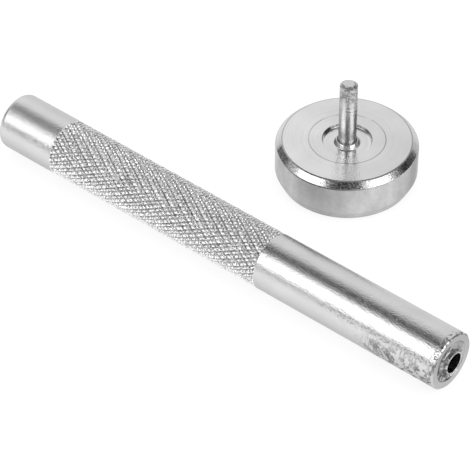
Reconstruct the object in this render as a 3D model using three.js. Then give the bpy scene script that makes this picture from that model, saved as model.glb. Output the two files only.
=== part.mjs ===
// Eyelet setting tool in two loose pieces of bright plated steel: a knurled striking bar
// with a ring-shaped die in one end, and a round anvil with an upright guide pin. The bar
// lies on the bench beside the anvil.
//
// Millimetres, +Z up. The origin is the middle of the anvil's foot, and +X runs along the
// bar towards its die. In use an eyelet is threaded over the pin with its flange in the
// anvil's recess, and the bar is stood over the pin and struck, so that its die rolls the
// eyelet's barrel over.

import * as THREE from 'three';

// Anvil: a turned disc.
const anvilDiameter = 29.4;
const anvilHeight = 9.6;
const rimBevelHeight = 1.3;
const rimBevelWidth = 1.35;
const footBevelHeight = 2.2;
const footBevelWidth = 1.05;
const innerLandDiameter = 15.8;
const innerLandDrop = 0.12;
const innerLandRamp = 0.12;

// Recess in the anvil's top, which takes the eyelet's flange.
const recessDiameter = 10.3;
const recessDepth = 0.8;
const recessFillet = 0.5;

// Boss around the pin, standing in the recess.
const bossFootDiameter = 5.5;
const bossTopDiameter = 4.7;
const bossHeight = 0.75;
const bossLandWidth = 0.15;
const pinFunnelDepth = 0.4;

// Guide pin, seated in a blind hole in the anvil.
const pinDiameter = 3.7;
const pinReach = 14.4;
const pinBevelHeight = 0.55;
const pinBevelWidth = 0.75;
const pinFootBevel = 0.3;
const pinSeatDepth = 7;
const pinSeatGap = 0.3;

// Striking bar.
const barDiameter = 12;
const barLength = 112;
const diePlainLength = 43.6;
const struckPlainLength = 14.4;
const struckEdgeRadius = 1.15;
const dieEdgeBevel = 0.25;

// Diamond knurl on the bar's grip: two crossing sets of V grooves.
const knurlStarts = 32;
const knurlHelixDegrees = 30;
const knurlDepth = 0.45;
const knurlRunOut = 0.3;

// Die in the bar's end: a rolling groove between a flat rim and a lip around the bore.
const boreClearance = 0.5;
const boreSpareDepth = 8;
const boreTipDegrees = 118;
const lipWidth = 0.45;
const lipTaper = 0.15;
const lipRise = 0.7;
const lipEdge = 0.1;
const grooveWidth = 1.85;
const grooveDepth = 0.5;

// Lay of the bar on the bench beside the anvil.
const layGap = 14.8;
const dieEndAlong = 53.1;

// Fineness of the round surfaces.
const anvilSides = 72;
const pinSides = 32;
const edgeSteps = 4;
const grooveSteps = 8;

const brightPlate = { color: 0xcfd0d1, metalness: 0.95, roughness: 0.2 };
const wornPlate = { color: 0xb9babb, metalness: 0.95, roughness: 0.32 };

// Heights and radii that more than one piece goes by.
const anvilRadius = anvilDiameter / 2;
const barRadius = barDiameter / 2;
const pinRadius = pinDiameter / 2;
const landTop = anvilHeight - innerLandDrop;
const recessFloor = landTop - recessDepth;
const pinFoot = recessFloor - pinSeatDepth;
const pinTop = anvilHeight + pinReach;

// Points of a round or oval stretch of outline about a centre, each end included.
function arc([centreR, centreZ], [radiusR, radiusZ], fromDegrees, toDegrees, steps) {
  return Array.from({ length: steps + 1 }, (_, step) => {
    const angle = THREE.MathUtils.degToRad(THREE.MathUtils.lerp(fromDegrees, toDegrees, step / steps));
    return [centreR + radiusR * Math.cos(angle), centreZ + radiusZ * Math.sin(angle)];
  });
}

// The disc's half section: foot, side, top, recess, boss and the pin's hole.
function anvilOutline() {
  const innerLand = innerLandDiameter / 2;
  const recess = recessDiameter / 2;
  const bossTop = recessFloor + bossHeight;
  const bossRim = bossTopDiameter / 2;
  const seat = pinRadius + pinSeatGap;
  return [
    [0, 0],
    [anvilRadius - footBevelWidth, 0],
    [anvilRadius, footBevelHeight],
    [anvilRadius, anvilHeight - rimBevelHeight],
    [anvilRadius - rimBevelWidth, anvilHeight],
    [innerLand + innerLandRamp, anvilHeight],
    [innerLand, landTop],
    ...arc([recess - recessFillet, landTop], [recessFillet, recessDepth], 0, -90, edgeSteps),
    [bossFootDiameter / 2, recessFloor],
    [bossRim, bossTop],
    [bossRim - bossLandWidth, bossTop],
    [seat, bossTop - pinFunnelDepth],
    [seat, pinFoot],
    [0, pinFoot],
  ];
}

// The pin's half section, standing on the floor of its hole.
function pinOutline() {
  return [
    [0, pinFoot],
    [pinRadius - pinFootBevel, pinFoot],
    [pinRadius, pinFoot + pinFootBevel],
    [pinRadius, pinTop - pinBevelHeight],
    [pinRadius - pinBevelWidth, pinTop],
    [0, pinTop],
  ];
}

// A solid turned about Z from an outline of [radius, height] points, which starts on the
// axis at the bottom, goes up the outside and comes back to the axis.
function turned(outline, sides) {
  const points = outline.map(([radius, height]) => new THREE.Vector2(radius, height));
  return new THREE.LatheGeometry(points, sides).rotateX(Math.PI / 2);
}

// Rows of the knurl from its lower to its upper end. Each row stands half a diamond above
// the last, and its points lie by turns on a crest and in a groove.
function knurlRows(bottom, top) {
  const crestSpacing = (Math.PI * barDiameter) / knurlStarts;
  const diamondLength = crestSpacing / Math.tan(THREE.MathUtils.degToRad(knurlHelixDegrees));
  const steps = Math.max(1, Math.round((2 * (top - bottom)) / diamondLength));
  return Array.from({ length: steps + 1 }, (_, row) => (
    { radius: barRadius, height: THREE.MathUtils.lerp(bottom, top, row / steps), cut: knurlDepth, row }
  ));
}

// The bar's half section, upright with the die's rim at height zero: struck end, grip, die
// and bore.
function barRows() {
  const plain = (points) => points.map(([radius, height]) => ({ radius, height, cut: 0, row: 0 }));
  const gripBottom = struckPlainLength - barLength;
  const gripTop = -diePlainLength;
  const bore = (pinDiameter + boreClearance) / 2;
  const lipFoot = bore + lipWidth;
  const lipCrown = lipFoot - lipTaper;
  const boreFloor = pinFoot - pinTop + pinSeatDepth - boreSpareDepth;
  const boreTip = bore / Math.tan(THREE.MathUtils.degToRad(boreTipDegrees / 2));
  const struckCentre = [barRadius - struckEdgeRadius, struckEdgeRadius - barLength];
  return [
    ...plain(arc(struckCentre, [struckEdgeRadius, struckEdgeRadius], -90, 0, edgeSteps)),
    ...plain([[barRadius, gripBottom]]),
    ...knurlRows(gripBottom + knurlRunOut, gripTop - knurlRunOut),
    ...plain([[barRadius, gripTop], [barRadius, -dieEdgeBevel], [barRadius - dieEdgeBevel, 0]]),
    ...plain(arc([lipFoot + grooveWidth / 2, 0], [grooveWidth / 2, grooveDepth], 0, -180, grooveSteps)),
    ...plain([[lipCrown, lipRise - lipEdge], [lipCrown - lipEdge, lipRise]]),
    ...plain([[bore + lipEdge, lipRise], [bore, lipRise - lipEdge], [bore, boreFloor]]),
    ...plain([[0, boreFloor - boreTip]]),
  ];
}

// A solid turned about Z whose rows may carry the knurl. A point is cut where its number
// and its row's add up to an even number, and each four-sided cell is split along the
// line that joins its two cut corners, which is the bottom of a groove.
function turnedWithKnurl(rows, sides) {
  const vertices = [0, 0, rows[0].height];
  const rings = rows.slice(0, -1);
  for (const { radius, height, cut, row } of rings) {
    for (let side = 0; side < sides; side += 1) {
      const angle = (2 * Math.PI * side) / sides;
      const reach = (side + row) % 2 === 0 ? radius - cut : radius;
      vertices.push(reach * Math.cos(angle), reach * Math.sin(angle), height);
    }
  }
  const tip = vertices.length / 3;
  vertices.push(0, 0, rows.at(-1).height);

  const at = (ring, side) => 1 + ring * sides + (side % sides);
  const faces = [];
  for (let side = 0; side < sides; side += 1) {
    faces.push(0, at(0, side + 1), at(0, side));
    for (let ring = 0; ring + 1 < rings.length; ring += 1) {
      const [a, b] = [at(ring, side), at(ring, side + 1)];
      const [c, d] = [at(ring + 1, side + 1), at(ring + 1, side)];
      const cutFirst = (side + rings[ring].row) % 2 === 0;
      faces.push(...(cutFirst ? [a, b, c, a, c, d] : [a, b, d, b, c, d]));
    }
    faces.push(at(rings.length - 1, side), at(rings.length - 1, side + 1), tip);
  }
  const geometry = new THREE.BufferGeometry();
  geometry.setAttribute('position', new THREE.Float32BufferAttribute(vertices, 3));
  geometry.setIndex(faces);
  geometry.computeVertexNormals();
  return geometry;
}

function piece(name, geometry, { color, metalness, roughness }) {
  const mesh = new THREE.Mesh(geometry, new THREE.MeshStandardMaterial({ color, metalness, roughness }));
  mesh.name = name;
  return mesh;
}

// The bar lies along X, with its die end towards +X.
function setterBar() {
  const geometry = turnedWithKnurl(barRows(), 2 * knurlStarts).rotateY(Math.PI / 2);
  const bar = piece('setter_bar', geometry, brightPlate);
  bar.position.set(dieEndAlong, -(anvilRadius + layGap + barRadius), barRadius);
  return bar;
}

const tool = new THREE.Group();
tool.add(
  piece('anvil_base', turned(anvilOutline(), anvilSides), brightPlate),
  piece('anvil_pin', turned(pinOutline(), pinSides), wornPlate),
  setterBar(),
);

export default tool;
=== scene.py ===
"""Looks of an eyelet setting tool: a knurled striking bar lying beside a round anvil with a guide pin.

Every length is in metres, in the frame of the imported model: +Z up, the origin in the middle of the
anvil's foot, +X along the bar towards its die. Only what a finish measures is in millimetres and
degrees.
"""

import logging
import math
from dataclasses import dataclass, field
from enum import Enum
from functools import cached_property, partial, reduce

import bpy
import numpy as np
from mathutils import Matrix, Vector


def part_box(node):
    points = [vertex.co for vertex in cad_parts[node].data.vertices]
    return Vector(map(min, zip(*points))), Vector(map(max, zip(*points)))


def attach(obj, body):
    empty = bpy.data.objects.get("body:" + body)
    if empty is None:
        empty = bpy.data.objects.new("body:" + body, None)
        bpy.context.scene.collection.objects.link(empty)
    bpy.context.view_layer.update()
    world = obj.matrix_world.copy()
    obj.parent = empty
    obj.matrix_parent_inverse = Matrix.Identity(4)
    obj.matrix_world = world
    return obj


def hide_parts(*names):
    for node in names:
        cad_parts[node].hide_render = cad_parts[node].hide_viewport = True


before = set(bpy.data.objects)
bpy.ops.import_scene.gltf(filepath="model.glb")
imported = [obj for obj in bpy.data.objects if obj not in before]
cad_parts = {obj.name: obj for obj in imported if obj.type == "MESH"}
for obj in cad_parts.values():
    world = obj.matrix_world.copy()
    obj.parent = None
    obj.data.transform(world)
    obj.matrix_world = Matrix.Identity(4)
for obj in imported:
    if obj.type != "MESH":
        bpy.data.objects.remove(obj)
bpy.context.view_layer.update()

MM = 0.001
PHOTO_WIDTH_PX = 470
NOISE_LOW, NOISE_HIGH = 0.3, 0.7  # soft noise mostly stays between these
Socket = bpy.types.NodeSocket
log = logging.getLogger("eyelet_setter")


class Lay(Enum):
    """How a turned piece lies: upright on the bench, or along the bench with its top towards +X."""

    UPRIGHT = "upright"
    ALONG_X = "along_x"


@dataclass(frozen=True)
class Corner:
    """One corner of a half section: its radius from the axis, its height, and its rounding."""

    radius: float
    height: float
    rounding: float = 0.0
    steps: int = 5


@dataclass(frozen=True)
class HalfSection:
    """The half section of a turned piece, from the bottom up the outside."""

    corners: tuple[Corner, ...]
    margin: float = 0.05 * MM

    def points(self) -> np.ndarray:
        """Rounds each corner by an arc that touches both of its sides.

        An arc of radius r between sides that meet at an angle 2a starts r / tan(a) from the corner,
        and its centre lies r / sin(a) from the corner along the line that halves the angle. Each
        straight side gets one more point just inside its ends, so that it shades flat.

        Returns:
            Rows of (radius, height).
        """
        at = np.array([(c.radius, c.height) for c in self.corners])
        arcs = map(self._rounded, at[:-2], at[1:-1], at[2:], self.corners[1:-1])
        runs = [at[:1], *arcs, at[-1:]]
        rows = [runs[0]]
        for last, run in zip(runs[:-1], runs[1:]):
            rows += [self._side(last[-1], run[0]), run]
        return np.concatenate(rows)

    @staticmethod
    def _rounded(before: np.ndarray, corner: np.ndarray, after: np.ndarray, spec: Corner) -> np.ndarray:
        """Works out the arc of one corner.

        Args:
            before: The corner before it.
            corner: The corner itself.
            after: The corner after it.
            spec: Its rounding.

        Returns:
            The arc's points, or the corner alone where it isn't rounded.
        """
        if spec.rounding <= 0.0:
            return corner[None]
        back = (before - corner) / np.linalg.norm(before - corner)
        ahead = (after - corner) / np.linalg.norm(after - corner)
        half = math.acos(float(np.clip(back @ ahead, -1.0, 1.0))) / 2
        inward = (back + ahead) / np.linalg.norm(back + ahead)
        centre = corner + inward * spec.rounding / math.sin(half)
        start = corner + back * spec.rounding / math.tan(half) - centre
        end = corner + ahead * spec.rounding / math.tan(half) - centre
        swing = math.pi - 2 * half
        part = np.linspace(0.0, 1.0, spec.steps + 1)[:, None]
        turned = np.sin((1 - part) * swing) * start + np.sin(part * swing) * end
        return centre + turned / math.sin(swing)

    def _side(self, start: np.ndarray, end: np.ndarray) -> np.ndarray:
        """Works out the points just inside the ends of one straight side.

        Args:
            start: Where the side starts.
            end: Where it ends.

        Returns:
            Two points, or none where the side is short.
        """
        length = float(np.linalg.norm(end - start))
        if length < 4 * self.margin:
            return np.empty((0, 2))
        share = self.margin / length
        return np.array([start + (end - start) * share, end - (end - start) * share])


@dataclass(frozen=True)
class TurnedSurface:
    """A closed surface round an axis, as radii on a grid of rows by sides, with a tip at each end.

    Its place is where the axis's zero height goes.
    """

    radii: np.ndarray
    heights: np.ndarray
    tips: tuple[float, float]
    flat_rows: tuple[int, int] = (0, 0)
    split_back: np.ndarray | None = None
    lay: Lay = Lay.UPRIGHT
    place: tuple[float, float, float] = (0.0, 0.0, 0.0)

    @classmethod
    def from_section(cls, points: np.ndarray, sides: int) -> "TurnedSurface":
        """Turns a half section that starts and ends on the axis.

        Args:
            points: Rows of (radius, height), the first and the last on the axis.
            sides: Number of sides round the axis.

        Returns:
            The surface.
        """
        rows = points[1:-1]
        radii = np.repeat(rows[:, :1], sides, axis=1)
        return cls(radii, rows[:, 1], (float(points[0, 1]), float(points[-1, 1])))

    def vertices(self) -> np.ndarray:
        """Works out the corners: (r cos t, r sin t, h) upright, or (h, r sin t, -r cos t) along X.

        Returns:
            One row of x, y, z for each vertex, the two tips last.
        """
        rows, sides = self.radii.shape
        turn = np.arange(sides) * 2 * np.pi / sides
        across = self.radii * np.cos(turn)
        along = self.radii * np.sin(turn)
        height = np.repeat(self.heights[:, None], sides, axis=1)
        grid = np.stack([across, along, height], axis=-1).reshape(rows * sides, 3)
        tips = np.array([[0.0, 0.0, self.tips[0]], [0.0, 0.0, self.tips[1]]])
        points = np.concatenate([grid, tips])
        if self.lay is Lay.ALONG_X:
            points = np.stack([points[:, 2], points[:, 1], -points[:, 0]], axis=1)
        return points + np.array(self.place)

    def triangles(self) -> np.ndarray:
        """Works out the faces: two to a cell, split back or forth as split_back says, and two fans.

        Returns:
            One row of three vertex numbers for each face, facing outwards.
        """
        rows, sides = self.radii.shape
        side = np.arange(sides)
        beside = (side + 1) % sides
        low = np.arange(rows - 1)[:, None] * sides
        a, b, c, d = low + side, low + beside, low + sides + beside, low + sides + side
        back = np.zeros((rows - 1, sides), bool) if self.split_back is None else self.split_back
        first = np.where(back[..., None], np.stack([a, b, d], -1), np.stack([a, b, c], -1))
        second = np.where(back[..., None], np.stack([b, c, d], -1), np.stack([a, c, d], -1))
        walls = np.stack([first, second], axis=2).reshape(-1, 3)
        foot, head = rows * sides, rows * sides + 1
        last = (rows - 1) * sides
        bottom = np.stack([np.full(sides, foot), beside, side], axis=1)
        top = np.stack([last + side, last + beside, np.full(sides, head)], axis=1)
        return np.concatenate([walls, bottom, top])

    def mesh(self, name: str) -> bpy.types.Mesh:
        """Puts the surface into a mesh, faceted on its flat rows and smooth elsewhere.

        Args:
            name: The mesh's name.

        Returns:
            The mesh.
        """
        points, faces = self.vertices(), self.triangles()
        mesh = bpy.data.meshes.new(name)
        mesh.from_pydata(points.tolist(), [], faces.tolist())
        smooth = np.ones(len(faces), bool)
        cells_a_row = 2 * self.radii.shape[1]
        smooth[self.flat_rows[0] * cells_a_row:self.flat_rows[1] * cells_a_row] = False
        mesh.polygons.foreach_set("use_smooth", smooth)
        mesh.update()
        return mesh


def add_piece(mesh: bpy.types.Mesh, material: bpy.types.Material) -> bpy.types.Object:
    """Links a mesh into the scene as an object of its own, in one material.

    Args:
        mesh: The mesh, in its place.
        material: Its finish.

    Returns:
        The new object, at the origin.
    """
    mesh.materials.append(material)
    piece = bpy.data.objects.new(mesh.name, mesh)
    bpy.context.scene.collection.objects.link(piece)
    return piece


@dataclass(frozen=True)
class Noise:
    """Soft noise: its lumps to the millimetre, its finer layers and how strong they are."""

    per_mm: float
    detail: float = 2.0
    rough: float = 0.5


@dataclass(frozen=True)
class Ramp:
    """A change between two limits of a measure, from one value to another, soft unless straight."""

    start: float
    end: float
    before: float = 0.0
    after: float = 1.0
    straight: bool = False

    def on(self, graph: "Graph", value: object) -> Socket:
        """Takes a number through the ramp, which is held at both ends.

        Args:
            graph: The graph to add to.
            value: The number.

        Returns:
            The result.
        """
        kind = {"interpolation_type": "LINEAR" if self.straight else "SMOOTHSTEP"}
        node = graph.node("MapRange", kind, Value=value, From_Min=self.start, From_Max=self.end,
                          To_Min=self.before, To_Max=self.after)
        return node.outputs["Result"]


@dataclass(frozen=True)
class Span:
    """A stretch of a measure between the middles of its two edges, and the widths of those edges."""

    low: float
    high: float
    rise: float
    fall: float

    def on(self, graph: "Graph", value: object) -> Socket:
        """Gives 1 inside the span and 0 outside it, with a soft change over each edge.

        Args:
            graph: The graph to add to.
            value: The number.

        Returns:
            The share.
        """
        rise = Ramp(self.low - self.rise / 2, self.low + self.rise / 2)
        fall = Ramp(self.high - self.fall / 2, self.high + self.fall / 2, 1.0, 0.0)
        return graph.product(rise.on(graph, value), fall.on(graph, value))


@dataclass(frozen=True)
class Sector:
    """A stretch of a round piece, in degrees: its bearing, its full half width and its whole reach."""

    bearing: float
    full: float
    reach: float
    beyond: float = 0.0

    def on(self, graph: "Graph", value: object) -> Socket:
        """Gives 1 in the full width about the bearing, and the value beyond from the reach on."""
        turned = graph.math("WRAP", graph.math("SUBTRACT", value, self.bearing), 180.0, -180.0)
        return Ramp(self.full, self.reach, 1.0, self.beyond).on(graph, graph.math("ABSOLUTE", turned))


Limits = tuple[tuple[str | Noise, Ramp | Span | Sector], ...]
WHOLE = Ramp(0.0, 1.0, straight=True)  # a share as it is
SOFTENED = Ramp(0.0, 1.0)  # a share with softer ends
OUTSIDE = Ramp(0.0, 1.0, 1.0, 0.0, straight=True)  # what a share leaves of 1


@dataclass(frozen=True)
class Mark:
    """Something that changes a finish's tone: where it lies, and its factor or what that follows.

    Limits pair a measure, an earlier mark or noise with what is made of it, and are multiplied.
    """

    where: Limits
    tone: float | Limits
    soft: bool = False
    name: str = ""


def patches(face: Limits, *stretches: tuple[Sector, float]) -> tuple[Mark, ...]:
    """Makes one mark for each stretch of a face, given as its sector and its tone."""
    return tuple(Mark((*face, ("bearing", sector)), tone) for sector, tone in stretches)


class Graph:
    """The node tree of a material or a world, with a short call for each kind of node that it uses.

    It keeps measures and the shares of marks by their names, and noise by its kind.
    """

    def __init__(self, owner: bpy.types.ID) -> None:
        """Empties the node tree of a material or a world.

        Args:
            owner: The material or world.
        """
        owner.use_nodes = True
        self.owner, self.tree = owner, owner.node_tree
        self.tree.nodes.clear()
        self.known: dict[str | Noise, Socket] = {}

    @cached_property
    def place(self) -> Socket:
        """Gives the place on the object, in millimetres."""
        metres = self.node("TexCoord").outputs["Object"]
        return self.operation("VectorMath", "DIVIDE", metres, (MM, MM, MM))

    def node(self, kind: str, settings: dict | None = None, **sockets: object) -> bpy.types.Node:
        """Adds a node, sets its options, and links or sets its named sockets.

        Args:
            kind: The node's type, without its first words.
            settings: Options of the node itself.
            **sockets: Values or outputs, by socket name with spaces as underscores.

        Returns:
            The node.
        """
        node = self.tree.nodes.new("ShaderNode" + kind)
        for option, value in (settings or {}).items():
            setattr(node, option, value)
        for name, value in sockets.items():
            self.feed(node.inputs[name.replace("_", " ")], value)
        return node

    def feed(self, socket: Socket, value: object) -> None:
        """Links an output to a socket, or sets the socket's own value.

        Args:
            socket: The input.
            value: An output, or a plain value.
        """
        if isinstance(value, Socket):
            self.tree.links.new(value, socket)
        else:
            socket.default_value = value

    def end(self, output: str, *shaders: bpy.types.Node) -> None:
        """Links shaders, added together where there are two, to the output.

        Args:
            output: The kind of output, Material or World.
            *shaders: One or two shaders.
        """
        surface = shaders[0].outputs[0]
        if len(shaders) > 1:
            both = self.node("AddShader")
            for socket, shader in zip(both.inputs, shaders):
                self.feed(socket, shader.outputs[0])
            surface = both.outputs[0]
        self.node("Output" + output, Surface=surface)

    def operation(self, kind: str, name: str, *values: object) -> Socket:
        """Adds a node that works out one thing from values in order.

        Args:
            kind: Math for numbers, VectorMath for vectors.
            name: The operation, such as MULTIPLY.
            *values: Values or outputs for its sockets.

        Returns:
            The result.
        """
        node = self.node(kind, {"operation": name})
        for socket, value in zip(node.inputs, values):
            self.feed(socket, value)
        return node.outputs[0]

    def math(self, name: str, *values: object) -> Socket:
        """Adds one operation on numbers, such as SUBTRACT."""
        return self.operation("Math", name, *values)

    def product(self, *factors: object) -> Socket:
        """Multiplies factors together."""
        return reduce(partial(self.math, "MULTIPLY"), factors or (1.0,))

    def blend(self, share: object, inside: object, outside: object = 1.0) -> Socket:
        """Mixes the value inside a share with the value outside it."""
        left = self.product(self.math("SUBTRACT", 1.0, share), outside)
        return self.math("ADD", left, self.product(share, inside))

    def parts(self, vector: object) -> list[Socket]:
        """Splits a vector into its x, y and z."""
        return list(self.node("SeparateXYZ", Vector=vector).outputs)

    def vector(self, x: object, y: object = 0.0, z: object = 0.0) -> Socket:
        """Joins three numbers to a vector."""
        return self.node("CombineXYZ", X=x, Y=y, Z=z).outputs[0]

    def reach(self, across: object, along: object) -> Socket:
        """Gives the distance from an axis, the root of the sum of the squares of two offsets."""
        squares = [self.product(part, part) for part in (across, along)]
        return self.math("SQRT", self.math("ADD", *squares))

    def noise(self, spec: Noise, where: object = None) -> Socket:
        """Adds soft noise.

        Args:
            spec: The noise.
            where: Its coordinates in millimetres, or None for the place.

        Returns:
            The noise, from 0 to 1.
        """
        where = self.place if where is None else where
        node = self.node("TexNoise", Vector=where, Scale=spec.per_mm, Detail=spec.detail,
                         Roughness=spec.rough)
        return node.outputs["Fac"]

    def read(self, what: str | Noise) -> Socket:
        """Gives what is kept under a name, or noise, which is made once.

        Args:
            what: The name, or the noise.

        Returns:
            Its output.
        """
        if what not in self.known:
            self.known[what] = self.noise(what)
        return self.known[what]

    def share(self, limits: Limits) -> Socket:
        """Multiplies what limits make of the things that they are about."""
        return self.product(*(limit.on(self, self.read(what)) for what, limit in limits))

    def factor(self, mark: Mark) -> Socket:
        """Makes a mark's factor on the tone, and keeps its share under its name if it has one.

        Args:
            mark: The mark.

        Returns:
            The factor, 1 outside the mark.
        """
        share = self.share(mark.where)
        if mark.name:
            self.known[mark.name] = share
        inside = mark.tone if isinstance(mark.tone, float) else self.share(mark.tone)
        return self.blend(SOFTENED.on(self, share) if mark.soft else share, inside)

    def toned(self, shading: Limits, marks: tuple[Mark, ...]) -> Socket:
        """Multiplies what a shading makes of the tone all over by the factors of marks."""
        return self.product(self.share(shading), *map(self.factor, marks))

    def bump(self, height: object, depth: float, under: object = None) -> Socket:
        """Adds relief.

        Args:
            height: The relief, from 0 to 1.
            depth: Its depth in metres.
            under: Another relief that it lies on.

        Returns:
            The normal.
        """
        node = self.node("Bump", Height=height, Distance=depth, Strength=1.0)
        if under is not None:
            self.feed(node.inputs["Normal"], under)
        return node.outputs["Normal"]


@dataclass(frozen=True)
class BrightPlate:
    """Bright plating over turned steel: neutral grey, sharp, with a grain and faint clouds.

    Its tone is that of its clouds, times what its shading makes of it all over and its marks make
    of it in their places.
    """

    name: str
    tone: float = 0.69
    edge_tint: float = 0.7
    cloud_noise: Noise = Noise(0.12, 3.0)
    cloud: float = 0.03
    grain_noise: Noise = Noise(2.6, 2.0, 0.55)
    grain_depth: float = 0.04 * MM
    shading: Limits = ()
    marks: tuple[Mark, ...] = ()

    def toned(self, graph: Graph) -> Socket:
        """Makes the tone from the clouds, the shading and the marks."""
        clouds = Ramp(NOISE_LOW, NOISE_HIGH, self.tone - self.cloud, self.tone + self.cloud, straight=True)
        return graph.toned(((self.cloud_noise, clouds), *self.shading), self.marks)

    def finished(self, graph: Graph, tone: Socket, rough: Socket,
                 *layers: tuple[Socket, float]) -> bpy.types.Material:
        """Ends the graph in the metal's shader, with the fine grain under the other relief.

        Args:
            graph: The material's graph.
            tone: The grey that varies over the surface.
            rough: The roughness that varies over the surface.
            *layers: The height, from 0 to 1, and the depth in metres of each other relief.

        Returns:
            The material.
        """
        normal = graph.bump(graph.noise(self.grain_noise), self.grain_depth)
        for height, depth in layers:
            normal = graph.bump(height, depth, normal)
        grey = graph.node("CombineColor", Red=tone, Green=tone, Blue=tone).outputs[0]
        edge = (self.edge_tint,) * 3 + (1.0,)
        graph.end("Material", graph.node("BsdfPrincipled", Metallic=1.0, Roughness=rough, Normal=normal,
                                         Base_Color=grey, Specular_Tint=edge))
        return graph.owner


@dataclass(frozen=True)
class AnvilPlate(BrightPlate):
    """The disc's plating: turning marks in rings on its level faces, pits on its bevel and a darker side.

    Its tone also holds painted light: painted shade across the top, lighter to the camera's left
    and darker to its right, painted shade in the inner land's groove and on the recess wall,
    painted dark reflections along the bevel's crest and in patches on the bevel, and painted dark
    reflections on the side at two bearings. The side is darker partly as duller plating and
    partly as painted shade.

    It measures z, the reach off the axis, the bearing about it, the distance across the disc
    that the painted shade follows, the noise of its rings and that of the smears on its side.
    """

    tone: float = 0.745
    cloud: float = 0.045
    grain_depth: float = 0.035 * MM
    ring_noise: Noise = Noise(1.8, 3.0, 0.7)
    ring_climb: float = 0.2
    ring_depth: float = 0.005 * MM
    # The direction across the disc, to the camera's right, along which the painted shade darkens.
    slant: tuple[float, float] = (0.767, 0.642)
    smear_noise: Noise = Noise(0.3, 3.0)
    smear_climb: float = 0.6
    pits: Noise = Noise(3.0, 3.0, 0.65)
    pit_depth: float = 0.06 * MM
    rough_reach: Ramp = Ramp(7.9, 9.085, 0.09, 0.12)
    bevel_reach: Ramp = Ramp(13.4, 13.5)
    side_reach: Ramp = Ramp(14.5, 14.65)
    side_height: Ramp = Ramp(7.0, 7.5, 1.0, 0.0)
    shading: Limits = (
        ("rings", Ramp(NOISE_LOW, NOISE_HIGH, 0.97, 1.03, straight=True)),
        # Painted shade: the top lighter to the camera's left and darker to its right.
        ("slant", Ramp(-14.5, 14.5, 1.055, 0.945, straight=True)),
    )
    # Painted shade: a dark line in the inner land's groove, full towards the front and fainter beyond.
    painted_groove_shade: Mark = Mark(
        (("reach", Span(7.815, 7.985, 0.17, 0.17)), ("bearing", Sector(-35.0, 60.0, 120.0, 0.3))), 0.35)
    # Painted dark reflection: a darker ring along the crest of the rim bevel.
    painted_crest_reflection: Mark = Mark((("reach", Span(13.15, 13.45, 0.1, 0.1)),), 0.6)
    # Painted shade on the recess wall, in two patches by bearing.
    painted_recess_shade: tuple[Mark, ...] = patches(
        (("reach", Span(4.625, 5.16, 0.15, 0.08)),),
        (Sector(88.0, 12.0, 28.0), 0.45),
        (Sector(176.0, 12.0, 28.0), 0.4),
    )
    marks: tuple[Mark, ...] = (painted_groove_shade, painted_crest_reflection, *painted_recess_shade)
    # Painted dark reflections on the rim bevel, one patch for each bearing, thinned out where it is pitted.
    bevel_painted_reflections: tuple[Mark, ...] = patches(
        ((pits, Ramp(0.38, 0.62, 1.0, 0.5)),),
        (Sector(-54.0, 11.2, 20.8), 0.12),
        (Sector(-122.0, 7.0, 13.0), 0.14),
        (Sector(-106.0, 5.6, 10.4), 0.5),
        (Sector(12.0, 9.1, 16.9), 0.12),
        (Sector(-6.0, 4.2, 7.8), 0.6),
    )
    # The side's tone: random smears that keep it darker than the top, partly as duller plating and partly as
    # painted shade.
    side_shading: Limits = (
        (Noise(1.2, 3.0, 0.6), Ramp(NOISE_LOW, NOISE_HIGH, 0.95, 1.05, straight=True)),
        ("smear", Ramp(NOISE_LOW, NOISE_HIGH, 0.4715, 0.667, straight=True)),
    )
    # Painted dark reflections on the side at two bearings, weaker near the foot and varied by the smears.
    side_painted_reflections: tuple[Mark, ...] = patches(
        (("z", Ramp(1.0, 7.0, 0.6, 1.0)), ("smear", Ramp(0.25, 0.6, 0.75, 1.0))),
        (Sector(-76.0, 0.0, 46.0), 0.54),
        (Sector(26.0, 0.0, 44.0), 0.56),
    )

    def material(self) -> bpy.types.Material:
        """Builds the material, in which a bearing is the arc tangent of y over x.

        The rings are noise along the distance from the axis, so they lie about the pin on every
        level face. The side has a tone of its own, darker partly as duller plating and partly as
        painted shade, with painted dark reflections at two bearings.

        Returns:
            The material.
        """
        graph = Graph(bpy.data.materials.new(self.name))
        x, y, z = graph.parts(graph.place)
        reach = graph.reach(x, y)
        rings = graph.noise(self.ring_noise, graph.vector(reach, graph.product(z, self.ring_climb)))
        smear = graph.noise(self.smear_noise, graph.vector(x, y, graph.product(z, self.smear_climb)))
        # Distance towards the camera's right, which the painted shade follows.
        slant = graph.math("ADD", *(graph.product(part, run) for part, run in zip((x, y), self.slant)))
        bearing = graph.math("DEGREES", graph.math("ARCTAN2", y, x))
        graph.known.update(z=z, reach=reach, bearing=bearing, slant=slant, rings=rings, smear=smear)

        on_side = graph.math("MAXIMUM", self.side_reach.on(graph, reach), self.side_height.on(graph, z))
        on_bevel = graph.product(self.bevel_reach.on(graph, reach), OUTSIDE.on(graph, on_side))
        # The bevel's painted dark reflections.
        wear_and_painted_reflection = graph.toned((), self.bevel_painted_reflections)
        level = graph.product(self.toned(graph), graph.blend(on_bevel, wear_and_painted_reflection))
        # The side's tone, partly painted shade, with its painted dark reflections.
        side = graph.toned(self.side_shading, self.side_painted_reflections)
        pitted = graph.product(on_bevel, graph.read(self.pits))
        return self.finished(graph, graph.blend(on_side, side, level), self.rough_reach.on(graph, reach),
                             (rings, self.ring_depth), (pitted, self.pit_depth))


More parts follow.
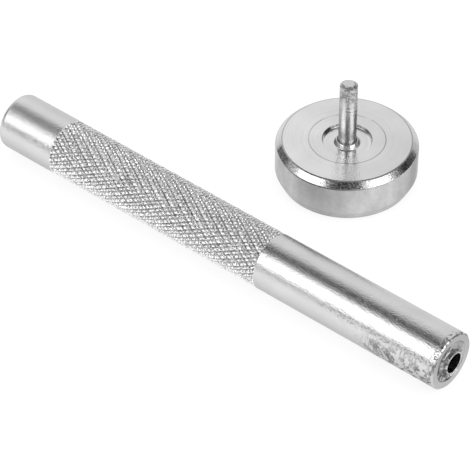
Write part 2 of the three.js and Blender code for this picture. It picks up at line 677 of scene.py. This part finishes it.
@dataclass(frozen=True)
class PinPlate(BrightPlate):
    """The pin's plating: drawn lengthways, with wear and pits near its top.

    It measures z and the reach off the axis.
    """

    tone: float = 0.68
    grain_noise: Noise = Noise(3.2, 2.0, 0.55)
    grain_depth: float = 0.06 * MM
    ridge_noise: Noise = Noise(2.6, 3.0, 0.6)
    ridge_stretch: float = 0.35
    ridge_depth: float = 0.07 * MM
    pits: Noise = Noise(2.0, 3.0, 0.65)
    pit_edge: Ramp = Ramp(0.42, 0.58)
    top: Limits = (("z", Ramp(19.5, 21.5)), ("z", Ramp(23.92, 23.98, 1.0, 0.25)))
    top_depth: float = 0.12 * MM
    worn_rough: Ramp = Ramp(0.0, 1.0, 0.17, 0.272)
    marks: tuple[Mark, ...] = (
        Mark((("top", WHOLE), (pits, pit_edge)), 0.55, soft=True, name="wear_and_painted_reflection"),
        Mark((("reach", Ramp(1.15, 1.35)), ("z", Ramp(23.4, 23.55)), (pits, pit_edge)), 0.85, soft=True),
    )

    def material(self) -> bpy.types.Material:
        """Builds the material, with noise that is stretched round the pin.

        Returns:
            The material.
        """
        graph = Graph(bpy.data.materials.new(self.name))
        x, y, z = graph.parts(graph.place)
        graph.known.update(z=z, reach=graph.reach(x, y))
        graph.known["top"] = graph.share(self.top)
        tone = self.toned(graph)
        stretched = graph.vector(*(graph.product(part, self.ridge_stretch) for part in (x, y)), z)
        ridges = graph.noise(self.ridge_noise, stretched)
        pitted = graph.product(graph.read("top"), graph.read(self.pits))
        return self.finished(graph, tone, self.worn_rough.on(graph, graph.read("wear_and_painted_reflection")),
                             (ridges, self.ridge_depth), (pitted, self.top_depth))


@dataclass(frozen=True)
class BarPlate(BrightPlate):
    """The bar's plating: gritty in the knurl, and stained, specked and chipped near the die.

    Its tone also holds painted light: painted shade under the bar, on the knurl's far side and on
    the die's end, which is darker towards its top and duller partly as plating and partly as
    painted shade; painted highlights on the knurl's crests and on the lip round the bore; and
    painted glints in the knurl, whose grooves are darker towards their bottoms.

    It measures the way along the bar from the die's rim plane, the way across to its far side, z,
    the reach off its axis, how far a place is sunk below its side, and what has dried on it: the
    edges of patches, and blots.
    """

    grain_noise: Noise = Noise(3.4, 2.0, 0.55)
    grain_depth: float = 0.07 * MM
    side_radius: float = 6.0
    grit: Noise = Noise(2.6, 2.0, 0.6)
    grip_depth: float = 0.11 * MM
    chip_depth: float = 0.15 * MM
    marked_rough: Ramp = Ramp(0.0, 1.0, 0.09, 0.225)
    dried_edge: Limits = ((Noise(0.55, 4.0, 0.62), Span(0.475, 0.525, 0.05, 0.05)),)
    blots: Limits = ((Noise(1.1, 3.0, 0.6), Ramp(0.52, 0.6)),)
    off_face: Ramp = Ramp(-0.5, -0.25, 1.0, 0.0)
    # Painted shade on the bar's underside, up to about 7 mm above the bench, and a painted highlight on the
    # lip past the die's rim plane.
    shading: Limits = (("z", Ramp(5.0, 7.4, 0.9, 1.0)), ("along", Ramp(0.3, 0.5, 1.0, 1.35)))
    knurl: Mark = Mark(
        (("along", Span(-97.6, -43.7, 0.2, 0.2)),),
        (
            # Painted highlight on the knurl's crests, with the tone darker towards the groove bottoms.
            ("sunk", Ramp(0.06, 0.3, 1.75, 0.72, straight=True)),
            # Painted glints: noise that lightens and darkens the knurl in spots.
            (Noise(3.6, 1.0), Ramp(0.35, 0.65, 0.62, 1.42)),
            # Painted shade on the knurl's far side.
            ("across", Ramp(2.5, 5.5, 1.0, 0.8)),
        ),
        name="grip",
    )
    rim: Mark = Mark(
        (("along", Ramp(-1.0, -0.6)), ("reach", Ramp(5.64, 5.82, 1.0, 0.0))),
        # Painted shade: the die's end lighter low down and darker towards its top, and duller, partly as
        # plating and partly as painted shade.
        (("z", Ramp(2.0, 9.0, 0.92, 0.68)),),
        name="rim",
    )
    groove_spots: Mark = Mark(
        (("rim", WHOLE), ("reach", Ramp(4.3, 4.4, 1.0, 0.0)), ("across", Ramp(-0.5, 1.5, 1.0, 0.2))),
        ((Noise(1.5, 3.0, 0.6), Ramp(0.42, 0.58, 0.35, 1.0)),),
    )
    stains: Mark = Mark(
        (
            ("dried", WHOLE),
            ("along", Ramp(-20.0, -13.0)),
            ("along", off_face),
            ("z", Ramp(5.17, 9.4, 1.0, 0.0)),
        ),
        0.3, soft=True, name="stains",
    )
    specks: Mark = Mark(
        (
            (Noise(2.2, 2.0, 0.6), Ramp(0.52, 0.62)),
            ("z", Ramp(7.4, 8.2, 0.25, 1.0)),
            ("z", Ramp(8.8, 9.3, 1.0, 0.0)),
            ("grip", OUTSIDE),
            ("along", off_face),
            ("along", Ramp(-36.0, -16.0, 0.2, 1.0)),
        ),
        0.6, soft=True,
    )
    chips: Mark = Mark(
        (
            (Noise(1.2, 3.0, 0.6), Ramp(0.49, 0.53)),
            ("along", Ramp(-2.0, -0.4)),
            ("reach", Ramp(5.58, 5.82)),
            ("z", Ramp(5.0, 9.0, 0.1, 1.0)),
        ),
        0.34, soft=True, name="chips",
    )
    marks: tuple[Mark, ...] = (knurl, rim, groove_spots, stains, specks, chips)

    def material(self, die: Vector) -> bpy.types.Material:
        """Builds the material.

        Args:
            die: The middle of the die's rim plane, on the bar's axis.

        Returns:
            The material.
        """
        graph = Graph(bpy.data.materials.new(self.name))
        moved = graph.operation("VectorMath", "SUBTRACT", graph.place, die / MM)
        along, across, above = graph.parts(moved)
        reach = graph.reach(across, above)
        sunk = graph.math("SUBTRACT", self.side_radius, reach)
        dried = graph.math("MAXIMUM", graph.share(self.dried_edge), graph.share(self.blots))
        graph.known.update(along=along, across=across, z=graph.parts(graph.place)[2], reach=reach,
                           sunk=sunk, dried=dried)
        tone = self.toned(graph)
        grip, rim, stains, chips = map(graph.read, ("grip", "rim", "stains", "chips"))
        marked = graph.math("MAXIMUM", stains, graph.math("MAXIMUM", chips, rim))
        grit = graph.read(self.grit)
        return self.finished(graph, tone, self.marked_rough.on(graph, marked),
                             (graph.product(grip, grit), self.grip_depth),
                             (graph.product(chips, grit), self.chip_depth))


@dataclass
class Anvil:
    """The round anvil: a turned disc with a bevelled rim, a recess and a boss, and its guide pin."""

    inner_land_radius: float = 7.9 * MM
    land_drop: float = 0.05 * MM
    rim_bevel_height: float = 1.3 * MM
    rim_bevel_width: float = 1.35 * MM
    rim_rounding: float = 0.6 * MM
    rim_steps: int = 8
    crest_steps: int = 10
    foot_bevel_height: float = 2.2 * MM
    foot_bevel_width: float = 1.05 * MM
    foot_rounding: float = 0.8 * MM
    edge_rounding: float = 0.28 * MM
    recess_radius: float = 5.15 * MM
    recess_depth: float = 0.8 * MM
    recess_draft: float = 0.11 * MM
    recess_fillet: float = 0.55 * MM
    recess_steps: int = 8
    boss_foot_radius: float = 2.72 * MM
    boss_top_radius: float = 2.26 * MM
    boss_height: float = 0.85 * MM
    boss_land: float = 0.12 * MM
    boss_rounding: float = 0.15 * MM
    boss_steps: int = 6
    funnel_depth: float = 0.45 * MM
    small_rounding: float = 0.1 * MM
    least_rounding: float = 0.05 * MM
    pin_gap: float = 0.03 * MM
    pin_bevel_height: float = 0.55 * MM
    pin_bevel_width: float = 0.75 * MM
    pin_rounding: float = 0.2 * MM
    pin_foot_bevel: float = 0.3 * MM
    disc_sides: int = 288
    pin_sides: int = 96
    plate: AnvilPlate = field(default_factory=lambda: AnvilPlate("anvil_bright_plate"))
    pin_plate: PinPlate = field(default_factory=lambda: PinPlate("pin_drawn_plate"))

    def disc_section(self) -> HalfSection:
        """Works out the disc's half section, its radius and height from the CAD disc.

        Returns:
            The half section.
        """
        low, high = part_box("anvil_base")
        pin_low, pin_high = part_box("anvil_pin")
        rim, top = high.x, high.z
        land = top - self.land_drop
        floor = land - self.recess_depth
        boss_top = floor + self.boss_height
        hole = (pin_high.x - pin_low.x) / 2 + self.pin_gap
        small, least = self.small_rounding, self.least_rounding
        return HalfSection((
            Corner(0.0, low.z),
            Corner(rim - self.foot_bevel_width, low.z, self.edge_rounding),
            Corner(rim, low.z + self.foot_bevel_height, self.foot_rounding),
            Corner(rim, top - self.rim_bevel_height, self.rim_rounding, self.rim_steps),
            Corner(rim - self.rim_bevel_width, top, self.rim_rounding, self.crest_steps),
            Corner(self.inner_land_radius + self.land_drop, top, least),
            Corner(self.inner_land_radius, land, least),
            Corner(self.recess_radius, land, small),
            Corner(self.recess_radius - self.recess_draft, floor, self.recess_fillet, self.recess_steps),
            Corner(self.boss_foot_radius, floor, small),
            Corner(self.boss_top_radius, boss_top, self.boss_rounding, self.boss_steps),
            Corner(self.boss_top_radius - self.boss_land, boss_top, least),
            Corner(hole, boss_top - self.funnel_depth, least),
            Corner(hole, pin_low.z),
            Corner(0.0, pin_low.z),
        ))

    def pin_section(self) -> HalfSection:
        """Works out the pin's half section, its radius and height from the CAD pin.

        Returns:
            The half section.
        """
        low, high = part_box("anvil_pin")
        side = (high.x - low.x) / 2
        return HalfSection((
            Corner(0.0, low.z),
            Corner(side - self.pin_foot_bevel, low.z),
            Corner(side, low.z + self.pin_foot_bevel),
            Corner(side, high.z - self.pin_bevel_height, self.pin_rounding),
            Corner(side - self.pin_bevel_width, high.z, self.pin_rounding),
            Corner(0.0, high.z),
        ))

    def build(self) -> list[bpy.types.Object]:
        """Makes the disc and the pin, which stand for their CAD nodes on the anvil's body.

        Returns:
            The two pieces.
        """
        disc = add_piece(
            TurnedSurface.from_section(self.disc_section().points(), self.disc_sides)
            .mesh("anvil_disc"), self.plate.material())
        pin = add_piece(
            TurnedSurface.from_section(self.pin_section().points(), self.pin_sides)
            .mesh("guide_pin"), self.pin_plate.material())
        for piece, node, slot in ((disc, "anvil_base", "anvil_plate"), (pin, "anvil_pin", "pin_plate")):
            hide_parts(node)
            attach(piece, "anvil")
        return [disc, pin]


@dataclass(frozen=True)
class Knurl:
    """Two crossing sets of V grooves, rolled by wheels that landed between their own first tracks."""

    starts: int = 20
    helix_degrees: float = 30.0
    falling_depth: float = 0.33 * MM
    rising_depth: float = 0.3 * MM
    samples: int = 14
    falling_tracks: tuple[float, ...] = (0.0, 0.44)
    rising_tracks: tuple[float, ...] = (0.0, 0.38)
    groove_half: float = 0.16
    jitter: float = 0.04 * MM
    seed: int = 7

    def grid(self, radius: float, length: float) -> tuple[int, int]:
        """Gives the grid's rows and sides; a start's spacing along is that round the bar over tan(helix)."""
        spacing = 2 * math.pi * radius / self.starts / math.tan(math.radians(self.helix_degrees))
        return round(length / spacing * self.samples), self.starts * self.samples

    def groove(self, phase: np.ndarray, tracks: tuple[float, ...]) -> np.ndarray:
        """Works out the cut of one set, 1 at the bottom of a full groove and 0 between grooves.

        Args:
            phase: Place across the grooves, 1 for each start.
            tracks: The place of each groove that one start holds.

        Returns:
            The cut, falling off evenly on both sides of each groove.
        """
        cut = np.zeros_like(phase)
        for track in tracks:
            off = np.abs((phase - track + 0.5) % 1.0 - 0.5)
            cut = np.maximum(cut, 1 - np.minimum(off / self.groove_half, 1.0))
        return cut

    def sets(self, row: np.ndarray, side: np.ndarray) -> tuple[np.ndarray, np.ndarray]:
        """Cuts the falling set, whose grooves keep row plus side, and the rising one, side less row.

        Args:
            row: Rows of the places to cut.
            side: Sides of the places to cut.

        Returns:
            The depth of the falling set and of the rising set, in metres.
        """
        falling = self.groove((side + row) / self.samples, self.falling_tracks) * self.falling_depth
        rising = self.groove((side - row) / self.samples, self.rising_tracks) * self.rising_depth
        return falling, rising

    def cuts(self, rows: int, sides: int) -> tuple[np.ndarray, np.ndarray]:
        """Cuts both sets on a grid, and says for each cell which way its two triangles are split.

        A cell is split along whichever set is deeper in its middle.

        Args:
            rows: Number of rows.
            sides: Number of sides.

        Returns:
            The cut at each point, in metres, and for each cell whether the falling set is deeper there.
        """
        row, side = np.meshgrid(np.arange(rows), np.arange(sides), indexing="ij")
        falling, rising = self.sets(row, side)
        fall_there, rise_there = self.sets(row[:-1] + 0.5, side[:-1] + 0.5)
        rng = np.random.default_rng(self.seed)
        rough = rng.uniform(0.0, self.jitter, (rows, sides))
        return np.maximum(falling, rising) + rough, fall_there > rise_there


@dataclass
class SetterBar:
    """The striking bar: one turned piece with a knurled grip and a rolling die in its +X end."""

    die_plain_length: float = 43.6 * MM
    struck_plain_length: float = 14.4 * MM
    struck_rounding: float = 1.15 * MM
    struck_steps: int = 10
    die_edge_bevel: float = 0.25 * MM
    die_edge_rounding: float = 0.08 * MM
    lip_rise: float = 0.7 * MM
    lip_width: float = 0.45 * MM
    lip_taper: float = 0.15 * MM
    lip_rounding: float = 0.1 * MM
    groove_width: float = 1.85 * MM
    groove_depth: float = 0.5 * MM
    groove_points: int = 17
    bore_radius: float = 2.1 * MM
    bore_depth: float = 23.32 * MM
    bore_tip: float = 1.26 * MM
    knurl_run_out: float = 0.06 * MM
    knurl: Knurl = field(default_factory=Knurl)
    plate: BarPlate = field(default_factory=lambda: BarPlate("bar_bright_plate"))

    def __post_init__(self) -> None:
        """Takes the bar's radius, its length to the die's rim plane and its place from the CAD bar."""
        low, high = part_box("setter_bar")
        die_plane = high.x - self.lip_rise
        self.radius = (high.z - low.z) / 2
        self.length = die_plane - low.x
        self.place = Vector((die_plane, (low.y + high.y) / 2, low.z + self.radius))

    def struck_section(self) -> np.ndarray:
        """Works out the outline from the middle of the struck end to the foot of the knurl.

        Returns:
            Rows of (radius, height), with the die's rim plane at height zero.
        """
        foot = -self.length
        return HalfSection((
            Corner(0.0, foot),
            Corner(self.radius, foot, self.struck_rounding, self.struck_steps),
            Corner(self.radius, foot + self.struck_plain_length),
        )).points()

    def die_section(self) -> np.ndarray:
        """Works out the outline from the head of the knurl over the die to the tip of the bore.

        Returns:
            Rows of (radius, height), with the die's rim plane at height zero.
        """
        foot = self.bore_radius + self.lip_width
        crown = foot - self.lip_taper
        half = self.groove_width / 2
        turn = np.linspace(0.0, np.pi, self.groove_points)
        groove = np.stack([foot + half + half * np.cos(turn), -self.groove_depth * np.sin(turn)], axis=1)
        edge = HalfSection((
            Corner(self.radius, -self.die_plain_length),
            Corner(self.radius, -self.die_edge_bevel, self.die_edge_rounding),
            Corner(self.radius - self.die_edge_bevel, 0.0, self.die_edge_rounding),
            Corner(*groove[0]),
        )).points()
        lip = HalfSection((
            Corner(*groove[-1]),
            Corner(crown, self.lip_rise, self.lip_rounding),
            Corner(self.bore_radius, self.lip_rise, self.lip_rounding),
            Corner(self.bore_radius, -self.bore_depth),
            Corner(0.0, -self.bore_depth - self.bore_tip),
        )).points()
        return np.concatenate([edge[:-1], groove, lip[1:]])

    def surface(self) -> TurnedSurface:
        """Joins the plain ends and the knurl on one grid.

        Returns:
            The bar's surface, faceted in the knurl.
        """
        struck, die = self.struck_section(), self.die_section()
        grip_foot = self.struck_plain_length - self.length + self.knurl_run_out
        grip_head = -self.die_plain_length - self.knurl_run_out
        rows, sides = self.knurl.grid(self.radius, grip_head - grip_foot)
        cut, falling = self.knurl.cuts(rows, sides)
        plain = [np.repeat(part[:, :1], sides, axis=1) for part in (struck[1:], die[:-1])]
        radii = np.concatenate([plain[0], self.radius - cut, plain[1]])
        heights = np.concatenate([struck[1:, 1], np.linspace(grip_foot, grip_head, rows), die[:-1, 1]])
        first = len(plain[0])
        split = np.zeros((len(heights) - 1, sides), bool)
        split[first:first + rows - 1] = falling
        tips = (float(struck[0, 1]), float(die[-1, 1]))
        flat_rows = (first - 1, first + rows)
        return TurnedSurface(radii, heights, tips, flat_rows, split, Lay.ALONG_X, tuple(self.place))

    def build(self) -> bpy.types.Object:
        """Makes the bar, which stands for its CAD node on the setter's body.

        Returns:
            The piece.
        """
        bar = add_piece(self.surface().mesh("striking_bar"), self.plate.material(self.place))
        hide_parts("setter_bar")
        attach(bar, "setter")
        return bar


@dataclass(frozen=True)
class Camera:
    """The photograph's camera: its place, heading and lens."""

    place: tuple[float, float, float] = (0.26937, -0.35726, 0.38160)
    heading_degrees: float = 39.945
    pitch_degrees: float = 41.711
    focal_px: float = 2852.2
    sensor: float = 36.0
    clip: tuple[float, float] = (0.01, 10.0)

    def build(self) -> None:
        """Makes the camera and gives it to the scene."""
        data = bpy.data.cameras.new("photo_camera")
        data.sensor_width = self.sensor
        data.lens = self.focal_px / PHOTO_WIDTH_PX * self.sensor
        data.clip_start, data.clip_end = self.clip
        camera = bpy.data.objects.new("photo_camera", data)
        camera.location = self.place
        tilt = 90 - self.pitch_degrees
        camera.rotation_euler = (math.radians(tilt), 0.0, math.radians(self.heading_degrees))
        bpy.context.scene.collection.objects.link(camera)
        bpy.context.scene.camera = camera


@dataclass(frozen=True)
class Lamp:
    """A soft box: an area lamp square to the middle of the object, bearing and elevation in degrees.

    Bearings count from the photograph's camera, positive to the camera's right.
    """

    name: str
    bearing: float
    elevation: float
    width: float
    height: float
    strength: float
    distance: float = 0.7


@dataclass(frozen=True)
class Cloth:
    """A stretch of the tent's wall of one brightness, in degrees of bearing and elevation."""

    brightness: float
    bearings: Span
    elevations: Span


class Studio:
    """The pale floor, the soft light, and the tent of light and dark cloth that bright metal needs."""

    lamps: tuple[Lamp, ...] = (
        Lamp("soft_box_left", -60.0, 34.0, 0.5, 0.5, 1.6),
        Lamp("soft_box_right", 55.0, 38.0, 0.5, 0.5, 1.4),
        Lamp("soft_box_top", 170.0, 70.0, 0.6, 0.6, 0.9),
    )
    tent_radius: float = 0.75
    tent_wall: float = 0.88
    tent_elevations: tuple[float, float] = (-4.0, 90.0)
    tent_rows: int = 48
    tent_sides: int = 72
    cloths: tuple[Cloth, ...] = (
        Cloth(1.0, Span(-200.0, -150.0, 2.0, 10.0), Span(-5.0, 52.0, 2.0, 6.0)),
        Cloth(0.45, Span(-200.0, 200.0, 2.0, 2.0), Span(58.0, 100.0, 20.0, 2.0)),
        Cloth(0.22, Span(-200.0, 200.0, 2.0, 2.0), Span(74.0, 100.0, 12.0, 2.0)),
        Cloth(0.46, Span(-140.0, 140.0, 20.0, 20.0), Span(-5.0, 14.0, 2.0, 2.0)),
        Cloth(0.7, Span(-150.0, -90.0, 14.0, 8.0), Span(20.0, 50.0, 6.0, 4.0)),
        Cloth(0.22, Span(79.0, 138.0, 4.0, 14.0), Span(20.0, 62.0, 4.0, 6.0)),
        Cloth(0.28, Span(-130.0, -92.0, 10.0, 10.0), Span(2.0, 24.0, 3.0, 6.0)),
        Cloth(0.1, Span(76.0, 118.0, 8.0, 10.0), Span(2.0, 24.0, 3.0, 6.0)),
        Cloth(0.1, Span(-148.0, -92.0, 14.0, 16.0), Span(51.0, 100.0, 8.0, 2.0)),
        Cloth(0.03, Span(-145.0, -96.0, 16.0, 14.0), Span(58.0, 100.0, 8.0, 2.0)),
        Cloth(0.2, Span(-86.0, 96.0, 8.0, 8.0), Span(53.0, 100.0, 4.0, 2.0)),
        Cloth(0.5, Span(-200.0, 200.0, 2.0, 2.0), Span(78.0, 100.0, 10.0, 2.0)),
        Cloth(0.22, Span(-33.0, 27.0, 5.0, 5.0), Span(16.0, 60.0, 8.0, 4.0)),
        Cloth(2.2, Span(-85.0, -34.0, 10.0, 4.0), Span(16.0, 52.5, 3.0, 6.0)),
        Cloth(2.2, Span(29.0, 76.0, 4.0, 6.0), Span(10.0, 49.0, 3.0, 4.0)),
    )
    floor_size: float = 6.0
    floor_tone: float = 0.2
    floor_lift: float = 0.83
    world_light: float = 0.85
    middle: Vector = Vector((0.0, -0.02, 0.01))

    def __init__(self, heading_degrees: float) -> None:
        """Takes the camera's heading, which bearings count from."""
        self.heading = math.radians(heading_degrees)

    def build(self) -> None:
        """Makes the floor, the world, the lamps and the tent."""
        self.floor()
        self.world()
        for lamp in self.lamps:
            self.soft_box(lamp)
        self.tent()

    def toward(self, bearing: float, elevation: float) -> Vector:
        """Works out a direction.

        Args:
            bearing: Its bearing in degrees.
            elevation: Its elevation in degrees.

        Returns:
            A vector of length 1.
        """
        turn, rise = self.heading + math.radians(bearing), math.radians(elevation)
        flat = math.cos(rise)
        return Vector((math.sin(turn) * flat, -math.cos(turn) * flat, math.sin(rise)))

    def soft_box(self, spec: Lamp) -> None:
        """Makes an area lamp that faces the object, for the floor; reflections see the tent instead.

        Args:
            spec: The lamp.
        """
        data = bpy.data.lights.new(spec.name, "AREA")
        data.shape = "RECTANGLE"
        data.size, data.size_y = spec.width, spec.height
        data.energy = spec.strength * math.pi * spec.width * spec.height
        lamp = bpy.data.objects.new(spec.name, data)
        aim = self.toward(spec.bearing, spec.elevation)
        lamp.location = self.middle + aim * spec.distance
        lamp.rotation_euler = aim.to_track_quat("Z", "Y").to_euler()
        lamp.visible_camera = lamp.visible_glossy = False
        bpy.context.scene.collection.objects.link(lamp)

    def tent(self) -> None:
        """Makes the tent, a dome that only reflections see and that casts no shadow.

        Its wall is (r cos e sin b, -r cos e cos b, r sin e) about the middle, for bearings b all round
        and elevations e from just under the horizon to the top.
        """
        rows, sides = self.tent_rows, self.tent_sides
        rise, turn = np.meshgrid(np.radians(np.linspace(*self.tent_elevations, rows)),
                                 np.arange(sides) * 2 * np.pi / sides, indexing="ij")
        flat = self.tent_radius * np.cos(rise)
        height = self.tent_radius * np.sin(rise)
        wall = np.stack([flat * np.sin(turn), -flat * np.cos(turn), height], axis=-1)
        low = np.arange(rows - 1)[:, None] * sides
        side, beside = np.arange(sides), (np.arange(sides) + 1) % sides
        faces = np.stack([low + side, low + beside, low + sides + beside, low + sides + side], -1)
        mesh = bpy.data.meshes.new("tent")
        mesh.from_pydata((wall.reshape(-1, 3) + np.array(self.middle)).tolist(), [],
                         faces.reshape(-1, 4).tolist())
        tent = add_piece(mesh, self.tent_cloth())
        tent.visible_camera = tent.visible_diffuse = tent.visible_shadow = tent.visible_transmission = False

    def tent_cloth(self) -> bpy.types.Material:
        """Builds the tent's glowing cloth, each stretch laid over the ones before it.

        The bearing is the arc tangent of the part to the camera's right over the part towards the
        camera, and the elevation is the arc sine of the height.

        Returns:
            The material.
        """
        graph = Graph(bpy.data.materials.new("tent_cloth"))
        moved = graph.operation("VectorMath", "SUBTRACT", graph.place, self.middle / MM)
        x, y, z = graph.parts(graph.operation("VectorMath", "NORMALIZE", moved))
        cos_h, sin_h = math.cos(self.heading), math.sin(self.heading)
        near = graph.math("SUBTRACT", graph.product(x, sin_h), graph.product(y, cos_h))
        right = graph.math("ADD", graph.product(x, cos_h), graph.product(y, sin_h))
        bearing = graph.math("DEGREES", graph.math("ARCTAN2", right, near))
        elevation = graph.math("DEGREES", graph.math("ARCSINE", z))
        glow = self.tent_wall
        for cloth in self.cloths:
            share = graph.product(cloth.bearings.on(graph, bearing), cloth.elevations.on(graph, elevation))
            glow = graph.blend(share, cloth.brightness, glow)
        graph.end("Material", graph.node("Emission", Strength=glow))
        return graph.owner

    @staticmethod
    def seen_directly(graph: Graph) -> Socket:
        """Finds the rays that the floor and the world show themselves white to.

        Args:
            graph: The graph to add to.

        Returns:
            1 for camera, glossy and transmission rays and 0 for the rest.
        """
        kinds = graph.node("LightPath").outputs
        through = graph.math("MAXIMUM", kinds["Is Glossy Ray"], kinds["Is Transmission Ray"])
        return graph.math("MAXIMUM", kinds["Is Camera Ray"], through)

    def floor(self) -> None:
        """Makes the pale floor, lifted to white where it is seen directly, with its shadows kept."""
        half = self.floor_size / 2
        corners = [(-half, -half, 0), (half, -half, 0), (half, half, 0), (-half, half, 0)]
        mesh = bpy.data.meshes.new("studio_floor")
        mesh.from_pydata(corners, [], [(0, 1, 2, 3)])
        graph = Graph(bpy.data.materials.new("studio_floor"))
        lift = graph.product(self.seen_directly(graph), self.floor_lift)
        graph.end("Material", graph.node("BsdfDiffuse", Color=(self.floor_tone,) * 3 + (1.0,)),
                  graph.node("Emission", Strength=lift))
        floor = add_piece(mesh, graph.owner)

    def world(self) -> None:
        """Makes the world white where it is seen directly, and a plain soft light elsewhere."""
        world = bpy.data.worlds.new("studio_world")
        graph = Graph(world)
        light = Ramp(0.0, 1.0, self.world_light, 1.0, straight=True)
        level = light.on(graph, self.seen_directly(graph))
        graph.end("World", graph.node("Background", Color=(1.0,) * 4, Strength=level))
        bpy.context.scene.world = world


def main() -> None:
    """Builds the camera, the studio and the tool, and reports each piece."""
    logging.basicConfig(level=logging.INFO, format="%(name)s: %(message)s")
    bpy.context.scene.view_settings.view_transform = "Standard"
    camera = Camera()
    camera.build()
    Studio(camera.heading_degrees).build()
    pieces = [*Anvil().build(), SetterBar().build()]
    for piece in pieces:
        log.info("%s: %d triangles", piece.name, len(piece.data.polygons))


if __name__ == "__main__":
    main()
